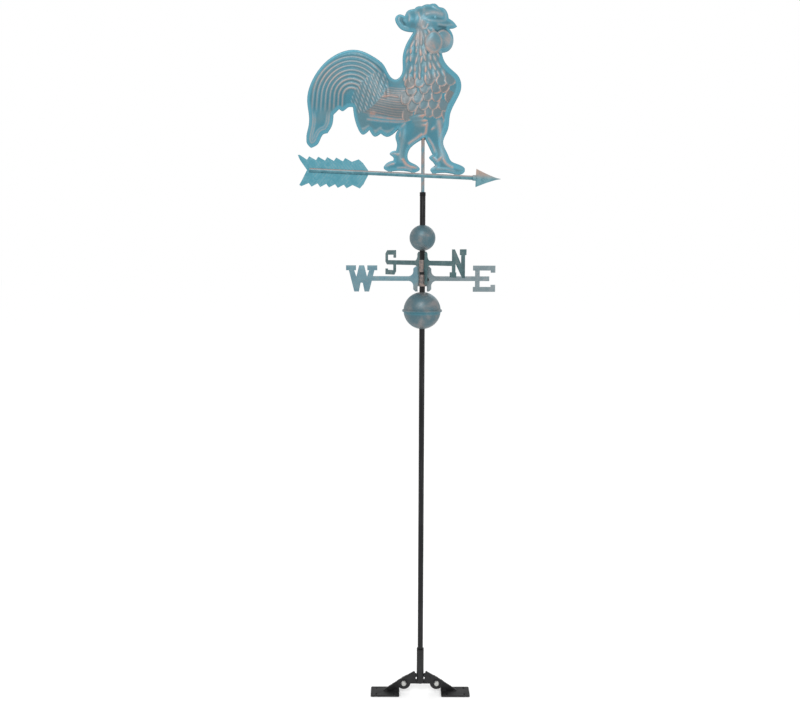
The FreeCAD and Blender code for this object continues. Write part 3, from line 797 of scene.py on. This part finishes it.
# the tube for the spindle, pressed into the crotch
nose_down = math.radians(2.5)
across = u * math.cos(nose_down) + w * math.sin(nose_down)
tube_r = 6.9
tube = np.sqrt(np.clip(tube_r ** 2 - across ** 2, 0, None)) * ramp(w, 88, 92)
tube *= 1 - ramp(w, 176, 190)
soft_relief = smoothed(relief, 1)
height = sheet_thickness + shelf + cushion + soft_relief * ramp(from_edge, 2.0, 6.0)
height = np.maximum(height, tube)
height = np.clip(height, sheet_thickness, deepest)
on_rim = from_edge < 0.01
height[on_rim] = sheet_thickness
print("relief from", round(float(relief.min()), 1), "to", round(float(relief.max()), 1), "mm")

# %% [markdown]
# ## Closing each half
# The pressed net gets a narrow wall round its edge and a flat back at the seam, so each half is
# a closed body. Both halves come from the same die, so the far one is the near one mirrored.

# %% The two halves
arrow_z = 1517.0
shell_low, shell_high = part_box("rooster_near_shell")


def on_vane(points):
    """From the arrow's own frame to the vane's place, in metres."""
    points = np.asarray(points, float)
    turned = np.empty_like(points)
    turned[:, 0] = points[:, 0] * math.cos(nose_down) + points[:, 2] * math.sin(nose_down)
    turned[:, 1] = points[:, 1]
    turned[:, 2] = arrow_z - points[:, 0] * math.sin(nose_down) + points[:, 2] * math.cos(nose_down)
    return turned * MM


def pressed_half(name, side, stands_for):
    """One half of the rooster: side is -1 for the near half and 1 for the far half."""
    front = np.stack([u, side * height, w], axis=1)
    seam = np.stack([outline[:, 0], np.zeros(count), outline[:, 1]], axis=1)
    points = on_vane(np.concatenate([front, seam]))
    points[:, 0] = np.clip(points[:, 0], shell_low.x, shell_high.x)
    points[:, 2] = np.clip(points[:, 2], shell_low.z, shell_high.z)
    back = len(front)
    faces = [t if side < 0 else t[::-1] for t in triangles]
    faces += [(i, back + i, back + j, j) if side < 0 else (i, j, back + j, back + i) for i, j in ring]
    faces.append(tuple(range(back, back + count)))
    mesh = bpy.data.meshes.new(name)
    mesh.from_pydata(points.tolist(), [], faces)
    half = new_object(name, mesh)
    open_mesh(half)
    bpy.ops.mesh.normals_make_consistent(inside=False)
    close_mesh()
    bare = np.zeros(count)
    for store, values in (("raised", np.clip((soft_relief + 1.2) / 2.6, 0, 1)), ("rubbed", rubbed),
                          ("warm", warm), ("tarnish", tarnish), ("rim", 1 - inner),
                          ("edge", np.exp(-(from_edge / 1.8) ** 2))):
        layer = half.data.attributes.new(store, "FLOAT", "POINT")
        layer.data.foreach_set("value", np.concatenate([np.clip(values, 0, 1), bare]).astype(np.float32))
    soft_shade(half, 60)
    hand_over(half, "vane", "patina_figure", figure_patina, stands_for)


pressed_half("rooster_near_relief", -1, "rooster_near_shell")
pressed_half("rooster_far_relief", 1, "rooster_far_shell")

# %% [markdown]
# ## Rounded copies of engineering parts
# Sheet, plate and turned parts already have their true shape in the engineering model, but a
# computed edge is perfectly sharp, and real edges catch the light. So such a part is copied, its
# loose triangles are merged into whole faces, and its edges are rounded.


# %% Copy and round
def bare_copy(node, name):
    """A copy of an engineering part with its points merged and its flat faces made whole."""
    piece = new_object(name, parts[node].data.copy())
    piece.data.name = name
    open_mesh(piece)
    bpy.ops.mesh.remove_doubles(threshold=0.01 * MM)
    bpy.ops.mesh.dissolve_limited(angle_limit=math.radians(0.8))
    close_mesh()
    return piece


def eased(node, body, finish_slot, finish, radius, name=None, steps=2, over=32, crease=40):
    """Hands over a copy of an engineering part with its edges rounded, to stand for that part."""
    piece = bare_copy(node, name or node + "_eased")
    finish_with(piece, "BEVEL", width=radius * MM, segments=steps, limit_method="ANGLE",
                angle_limit=math.radians(over), use_clamp_overlap=True)
    soft_shade(piece, crease)
    hand_over(piece, body, finish_slot, finish, node)


def wear(node, finish):
    """Gives an engineering part that stays in view, or inside, its finish."""
    piece = parts[node]
    if not piece.material_slots:
        piece.data.materials.append(finish)
    for slot in piece.material_slots:
        slot.link = "OBJECT"
        slot.material = finish


# %% [markdown]
# ## The arrow's patina
# The arrow has the rooster's colours, laid on more plainly. Its upper side is copper pink, partly
# rubbed by hands and weather and partly a painted highlight of the light from above. The net below
# works in the arrow's own frame, so the pink side stays along the top of the shaft and the head
# although the arrow dips a little.


# %% Arrow finishes
def arrow_place(shader):
    """Places in the arrow's frame, in metres: along it, across it and above its centre line."""
    shift = Matrix.Rotation(-nose_down, 3, "Y") @ Vector((0, 0, -arrow_z * MM))
    return metal_place(shader, turn=(0, -nose_down, 0), shift=shift)


def arrow_finish(name, cool, deep, pink, low, high):
    finish, shader = new_finish(name, cool, 0.25, 0.42)
    place = arrow_place(shader)
    patches = mottle(place, 45.0, 3.0, 0.7, 0.6)
    speckle = mottle(place, 260.0, 2.0)
    colour = lay_over(between(patches, 0.35, 0.65), deep, cool)
    # the upper side turns copper pink: partly rubbed wear, partly a painted highlight from the light above
    top_worn_and_lit = between(split_places(place)["Z"], low, high)
    worn = product(top_worn_and_lit, between(speckle, 0.25, 0.6, 0.5, 1.0))
    colour = lay_over(worn, colour, pink)
    dress(shader, colour, between(speckle, 0.3, 0.7, 0.34, 0.5), (speckle, 0.0002, 0.3))
    return finish, shader, place, colour, patches


shaft_patina = arrow_finish("patina_shaft", "54808a", "376a76", "a08a83", 0.0, 0.005)[0]
head_patina = arrow_finish("patina_head", "638d96", "4b7984", "9c8376", -0.006, 0.016)[0]

# The fletching has slanting barbs, and the patina is rubbed along some of them.
fletching_patina, shader, place, colour, patches = arrow_finish(
    "patina_fletching", "4f8b99", "3f7f8e", "9f9a98", 1.0, 2.0)
barb_pitch = 9.0
barb_lean = 0.75
sides = split_places(place)
lean = calculate("MULTIPLY_ADD", calculate("ABSOLUTE", sides["Z"]), barb_lean, sides["X"])
waves = calculate("COSINE", calculate("MULTIPLY", lean, 2 * math.pi / (barb_pitch * MM)))
streak = product(between(waves, 0.55, 1.0), between(patches, 0.42, 0.58))
colour = lay_over(product(streak, 0.3), colour, "8f8984")
colour = lay_over(between(waves, -0.5, -1.0, 0.0, 0.12), colour, "33707c")
dress(shader, colour)
print("arrow finishes made")

# %% [markdown]
# ## Fletching
# The feathers of the arrow are one toothed sheet with barbs that slant back from the shaft. The
# sheet is cut along the shaft and along every barb with the bisect tool, which only adds edges.
# Then the edges along the barbs are lifted a little on both faces, as embossing does.

# %% Fletching with raised barbs
fletching = bare_copy("tail_feathers", "arrow_fletching")


def in_arrow(point):
    """The engineering frame's point in the arrow's frame, in millimetres."""
    x, z = point.x / MM, point.z / MM - arrow_z
    return (x * math.cos(nose_down) - z * math.sin(nose_down),
            x * math.sin(nose_down) + z * math.cos(nose_down))


open_mesh(fletching)
bpy.ops.mesh.bisect(plane_co=on_vane([[0, 0, 0]])[0], plane_no=(math.sin(nose_down), 0, math.cos(nose_down)))
barb_starts = [barb_pitch * k for k in range(-39, -11)]
for half in (1, -1):
    normal = on_vane([[1, 0, half * barb_lean]])[0] - on_vane([[0, 0, 0]])[0]
    for start in barb_starts:
        pick(fletching, lambda centre: half * in_arrow(centre)[1] > 0)
        bpy.ops.mesh.bisect(plane_co=on_vane([[start, 0, 0]])[0], plane_no=normal)


def on_barb(point):
    along, above = in_arrow(point)
    turns_along = (along + barb_lean * abs(above)) / barb_pitch
    return abs(turns_along - round(turns_along)) < 0.02 and abs(above) > 0.5


half_sheet = 0.3 * MM
barb_lift = 0.15 * MM
for side in (-1, 1):
    pick(fletching, lambda point: on_barb(point) and side * point.y > half_sheet, "VERT")
    bpy.ops.transform.translate(value=(0, side * barb_lift, 0))
close_mesh()
soft_shade(fletching, 12)
hand_over(fletching, "vane", "patina_arrow", fletching_patina, "tail_feathers")

# %% [markdown]
# ## Shaft, collar, head and spindle
# The shaft is a plain tube and keeps its engineering shape. The head is a hollow-ground spear
# with a sharp ridge, so only its outer edges are eased. The spindle is a steel rod stained by
# the copper it stands in.

# %% Rest of the arrow
wear("arrow_shaft", shaft_patina)
eased("arrow_head", "vane", "patina_arrow", head_patina, 0.35, over=50, crease=14)
eased("head_collar", "vane", "patina_arrow", head_patina, 0.8)

spindle_steel, shader = new_finish("spindle_steel", "7c8d8f", 0.55, 0.4)
streaks = mottle(metal_place(shader, stretch=(1, 1, 0.12)), 300.0, 3.0)
stain = between(mottle(metal_place(shader), 26.0, 3.0), 0.42, 0.6)
colour = lay_over(stain, "857a76", "60808a")
dress(shader, lay_over(between(streaks, 0.45, 0.7, 0.0, 0.4), colour, "a9a6a4"))
wear("spindle", spindle_steel)

solder_grey, shader = new_finish("solder", "6f8d92", 0.5, 0.5)
lumps = mottle(metal_place(shader), 400.0, 3.0)
dress(shader, lay_over(lumps, "4d7780", "8d9a9b"), relief=(lumps, 0.0004, 0.6))
wear("foot_solder", solder_grey)

# %% [markdown]
# ## Black mast
# The mast is three lengths of tube in semi-gloss black enamel. Thin grey streaks along its length
# are painted highlights of the gloss, laid over faint lines of relief, and the ends of the sections
# are eased, so each joint shows as a fine ring.

# %% Mast
mast_black, shader = new_finish("black_mast", "0b0b0d", 0.0, 0.3, specular=0.25)
fine_lines_and_highlight_streaks = mottle(metal_place(shader, stretch=(1, 1, 0.03)), 420.0, 4.0)
dust = mottle(metal_place(shader), 90.0, 5.0)
# grey streaks along the tube: painted highlights of the gloss
colour = lay_over(between(fine_lines_and_highlight_streaks, 0.5, 0.75, 0.0, 0.7), "08080a", "3c3c40")
dress(shader, colour, between(dust, 0.3, 0.7, 0.26, 0.42), (fine_lines_and_highlight_streaks, 0.0002, 0.3))
for node in ("mast_lower", "mast_middle", "mast_upper"):
    eased(node, "mast_and_mount", "black_mast", mast_black, 0.8, name=node + "_tube", steps=3)

cap_black, shader = new_finish("nylon_cap", "060607", 0.0, 0.5, specular=0.2)
lumps = mottle(metal_place(shader), 700.0, 3.0)
dress(shader, lay_over(lumps, "050506", "0d0d0f"), relief=(lumps, 0.0001, 0.4))
eased("top_bushing", "mast_and_mount", "nylon_cap", cap_black, 0.5, name="mast_cap")

# %% [markdown]
# ## Spun balls
# Each ball is spun from copper sheet as two cups that meet at the middle. On the large ball the
# seam is rolled into a bead. A sphere primitive is cut open where the mast passes, the band at
# the seam is drawn out to make the bead, and Solidify gives the sheet its thickness.

# %% Ball patina
turned = (0.05, 0.05, 1)
ball_patina, shader = new_finish("patina_ball", "55757e", 0.6, 0.48)
place = metal_place(shader)
clouds = mottle(place, 22.0, 3.0, 0.6, 0.5)
speckle = mottle(place, 420.0, 3.0)
lathe = mottle(metal_place(shader, stretch=turned), 900.0, 2.0)
colour = lay_over(between(clouds, 0.35, 0.65), "4a666f", "636f73")
# pinkish patches: painted reflections of the soft lights, scattered by the mottle
colour = lay_over(between(clouds, 0.5, 0.75, 0.0, 0.5), colour, "8f8684")
colour = lay_over(between(speckle, 0.55, 0.72, 0.0, 0.3), colour, "3d6470")
# a bluer ring where the patina gathers under the rolled bead
bead_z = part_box("lower_ball_bottom")[1].z
level = split_places(place)["Z"]
below_bead = between(level, bead_z - 13 * MM, bead_z - 6 * MM)
above_ring = between(level, bead_z - 3 * MM, bead_z + 1 * MM, 1.0, 0.0)
colour = lay_over(product(product(below_bead, above_ring), 0.6), colour, "3f7a88")
dress(shader, colour, between(speckle, 0.3, 0.7, 0.42, 0.54), (lathe, 0.0001, 0.25))


# %% Balls
def spun_ball(prefix, name, bead=False):
    """A hollow ball between its two engineering cups' places."""
    low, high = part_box(prefix + "_ball_bottom")
    hole = 8.3 * MM
    seam = high.z
    radius = (high.x - low.x) / 2
    put_down()
    bpy.ops.mesh.primitive_uv_sphere_add(segments=96, ring_count=64, radius=radius, location=(0, 0, seam))
    ball = settle(bpy.context.object, name)
    opening = math.sqrt(radius ** 2 - hole ** 2)
    open_mesh(ball)
    bpy.ops.mesh.bisect(plane_co=(0, 0, seam + opening), plane_no=(0, 0, 1), clear_outer=True)
    bpy.ops.mesh.select_all(action="SELECT")
    bpy.ops.mesh.bisect(plane_co=(0, 0, seam - opening), plane_no=(0, 0, -1), clear_outer=True)
    if bead:
        bead_half, bead_out = 2.9 * MM, 3.6 * MM
        for side in (-1, 1):
            bpy.ops.mesh.select_all(action="SELECT")
            bpy.ops.mesh.bisect(plane_co=(0, 0, seam + side * bead_half), plane_no=(0, 0, 1))
        pick(ball, lambda centre: abs(centre.z - seam) < bead_half)
        bpy.ops.mesh.extrude_region()
        grow = 1 + bead_out / radius
        bpy.ops.transform.resize(value=(grow, grow, 0.9), center_override=(0, 0, seam))
    close_mesh()
    if bead:
        finish_with(ball, "BEVEL", width=1.5 * MM, segments=4, limit_method="ANGLE",
                    angle_limit=math.radians(40))
    finish_with(ball, "SOLIDIFY", thickness=1.0 * MM, offset=-1.0)
    soft_shade(ball, 50)
    hand_over(ball, "mast_and_mount", "patina_ball", ball_patina,
              prefix + "_ball_top", prefix + "_ball_bottom")


spun_ball("upper", "upper_ball")
spun_ball("lower", "lower_ball", bead=True)

# %% [markdown]
# ## Compass arms and hubs
# Each arm and its letter are cut from one sheet that stands upright on the hub. The cut edges are
# eased. The north and south pair has a darker green patina, and the east and west pair a thinner,
# greyer one, bluer towards the west.


# %% Arm finishes
def sheet_patina(name, base, deep, worn, scale):
    finish, shader = new_finish(name, base, 0.25, 0.45)
    place = metal_place(shader)
    clouds = mottle(place, scale, 4.0, 0.65, 0.4)
    speckle = mottle(place, 350.0, 3.0)
    colour = lay_over(between(clouds, 0.36, 0.64), deep, base)
    colour = lay_over(between(clouds, 0.55, 0.72, 0.0, 0.6), colour, worn)
    colour = lay_over(between(speckle, 0.5, 0.75, 0.0, 0.45), colour, worn)
    dress(shader, colour, between(speckle, 0.3, 0.7, 0.38, 0.54), (speckle, 0.0002, 0.3))
    return finish


north_south_patina = sheet_patina("patina_north_south", "426366", "2f5053", "726f6c", 30.0)
east_patina = sheet_patina("patina_east", "77868a", "68797e", "95898a", 26.0)
west_patina = sheet_patina("patina_west", "64848d", "567985", "85827f", 26.0)
for side, body, finish in (("north", "north_south", north_south_patina),
                           ("south", "north_south", north_south_patina),
                           ("east", "east_west", east_patina), ("west", "east_west", west_patina)):
    eased(side + "_arm", body, "patina_" + body, finish, 0.4)

hub_brass, shader = new_finish("hub_metal", "8f7f78", 0.7, 0.38)
tarnish_spots = mottle(metal_place(shader), 120.0, 4.0)
turning = mottle(metal_place(shader, stretch=turned), 1200.0, 2.0)
colour = lay_over(between(tarnish_spots, 0.4, 0.62), "6b6665", "8f7f78")
dress(shader, colour, between(tarnish_spots, 0.3, 0.7, 0.3, 0.5), (turning, 0.0001, 0.4))
screw_black, shader = new_finish("black_screw", "151517", 0.4, 0.42)
oil = mottle(metal_place(shader), 500.0, 3.0)
dress(shader, lay_over(oil, "101012", "26262a"), relief=(oil, 0.0001, 0.4))
for body in ("north_south", "east_west"):
    eased(body + "_hub", body, "hub_metal", hub_brass, 0.8)
    eased(body + "_screw", body, "black_screw", screw_black, 0.6)

# %% [markdown]
# ## Roof mount
# Saddle, webs and feet are 5 mm plate in black powder coat, which has a fine orange-peel texture
# and rounds every edge. The tube and webs are welded, and the beads show the welder's ripples.

# %% Powder coat and the plates
coat_black, shader = new_finish("black_mount", "151516", 0.0, 0.5, specular=0.3)
place = metal_place(shader)
peel = mottle(place, 1100.0, 2.0)
dust = mottle(place, 60.0, 5.0)
colour = lay_over(between(dust, 0.4, 0.7), "121213", "202021")
colour = lay_over(between(peel, 0.5, 0.8, 0.0, 0.5), colour, "38383a")
dress(shader, colour, between(dust, 0.3, 0.7, 0.42, 0.56), (peel, 0.0003, 0.6))
for node, body, radius in (("saddle_plate", "mast_and_mount", 0.9), ("socket_tube", "mast_and_mount", 0.8),
                           ("left_foot_plate", "left_foot", 0.8), ("left_foot_web", "left_foot", 0.9),
                           ("right_foot_plate", "right_foot", 0.8), ("right_foot_web", "right_foot", 0.9)):
    eased(node, body, "black_mount", coat_black, radius, steps=3)


# %% Weld beads
def weld_beads(name, runs, body, stands_for):
    """Rippled beads: each is a row of overlapping drops, from a start to an end in millimetres."""
    put_down()
    drops = []
    for start, end, radius in runs:
        start, end = Vector(start), Vector(end)
        steps = max(2, round((end - start).length / (0.7 * radius)))
        for i in range(steps + 1):
            place = start.lerp(end, i / steps) * MM
            size = radius * (1 + 0.10 * math.sin(2.3 * i + start.x))
            bpy.ops.mesh.primitive_uv_sphere_add(segments=16, ring_count=10, radius=size * MM, location=place)
            drops.append(bpy.context.object)
    for drop in drops:
        drop.select_set(True)
    bpy.context.view_layer.objects.active = drops[0]
    bpy.ops.object.join()
    beads = settle(bpy.context.object, name)
    soft_shade(beads, 60)
    hand_over(beads, body, "black_mount", coat_black, stands_for)


weld_beads("socket_weld_beads",
           [((side * 12.4, face * 2.4, low), (side * 12.4, face * 2.4, high), 1.9)
            for side in (-1, 1) for face in (-1, 1) for low, high in ((35.0, 38.5), (51.0, 57.0))],
           "mast_and_mount", "socket_welds")
for side, sign in (("left", -1), ("right", 1)):
    weld_beads(side + "_foot_weld_beads",
               [((sign * low, 2.3, 4.5), (sign * high, 2.3, 4.5), 2.2)
                for low, high in ((67.0, 75.0), (99.0, 107.0))],
               side + "_foot", side + "_foot_welds")

# %% [markdown]
# ## Bolts
# Each foot hinges on a zinc-plated hexagon bolt between two black washers. Zinc is bright but not
# polished, with a faint crystal pattern.

# %% Bolts, washers and nuts
bright_zinc, shader = new_finish("zinc", "c4c4c1", 0.85, 0.34)
crystals = add_node(shader, "ShaderNodeTexVoronoi", feature="F1")
wire(metal_place(shader), crystals.inputs["Vector"])
fill_in(crystals, Scale=700.0)
flakes = crystals.outputs["Distance"]
dress(shader, lay_over(flakes, "8f908e", "cfcfcb"), between(flakes, 0.0, 0.8, 0.24, 0.4))
for node, radius, finish_slot, finish in (("pivot_bolts", 0.5, "zinc", bright_zinc),
                                          ("pivot_nuts", 0.6, "zinc", bright_zinc),
                                          ("pivot_washers", 0.3, "black_screw", screw_black),
                                          ("mast_set_screw", 0.3, "black_screw", screw_black)):
    eased(node, "mast_and_mount", finish_slot, finish, radius)

# %% [markdown]
# ## Parts inside
# Bushings, thrust ball, rubber rings and the rooster's socket are hidden, but they are real parts
# and get their finishes too.

# %% Hidden parts
bearing_bronze, shader = new_finish("bearing_bronze", "a58a55", 0.9, 0.35)
turning = mottle(metal_place(shader, stretch=turned), 1500.0, 2.0)
dress(shader, lay_over(turning, "8c7344", "b89a62"), relief=(turning, 0.0001, 0.5))
ball_steel, shader = new_finish("ball_steel", "c9cacc", 1.0, 0.12)
wire(between(mottle(metal_place(shader), 300.0, 3.0), 0.3, 0.7, 0.08, 0.18), shader.inputs["Roughness"])
grommet_rubber, shader = new_finish("grommet_rubber", "141414", 0.0, 0.8)
pores = mottle(metal_place(shader), 900.0, 3.0)
dress(shader, lay_over(pores, "0f0f0f", "1e1e1e"), relief=(pores, 0.0001, 0.5))
for node, finish in (("lower_bushing", bearing_bronze), ("ball_seat", bearing_bronze),
                     ("thrust_ball", ball_steel), ("upper_ball_grommets", grommet_rubber),
                     ("lower_ball_grommets", grommet_rubber), ("rooster_socket", hub_brass)):
    wear(node, finish)
print("hidden parts finished")
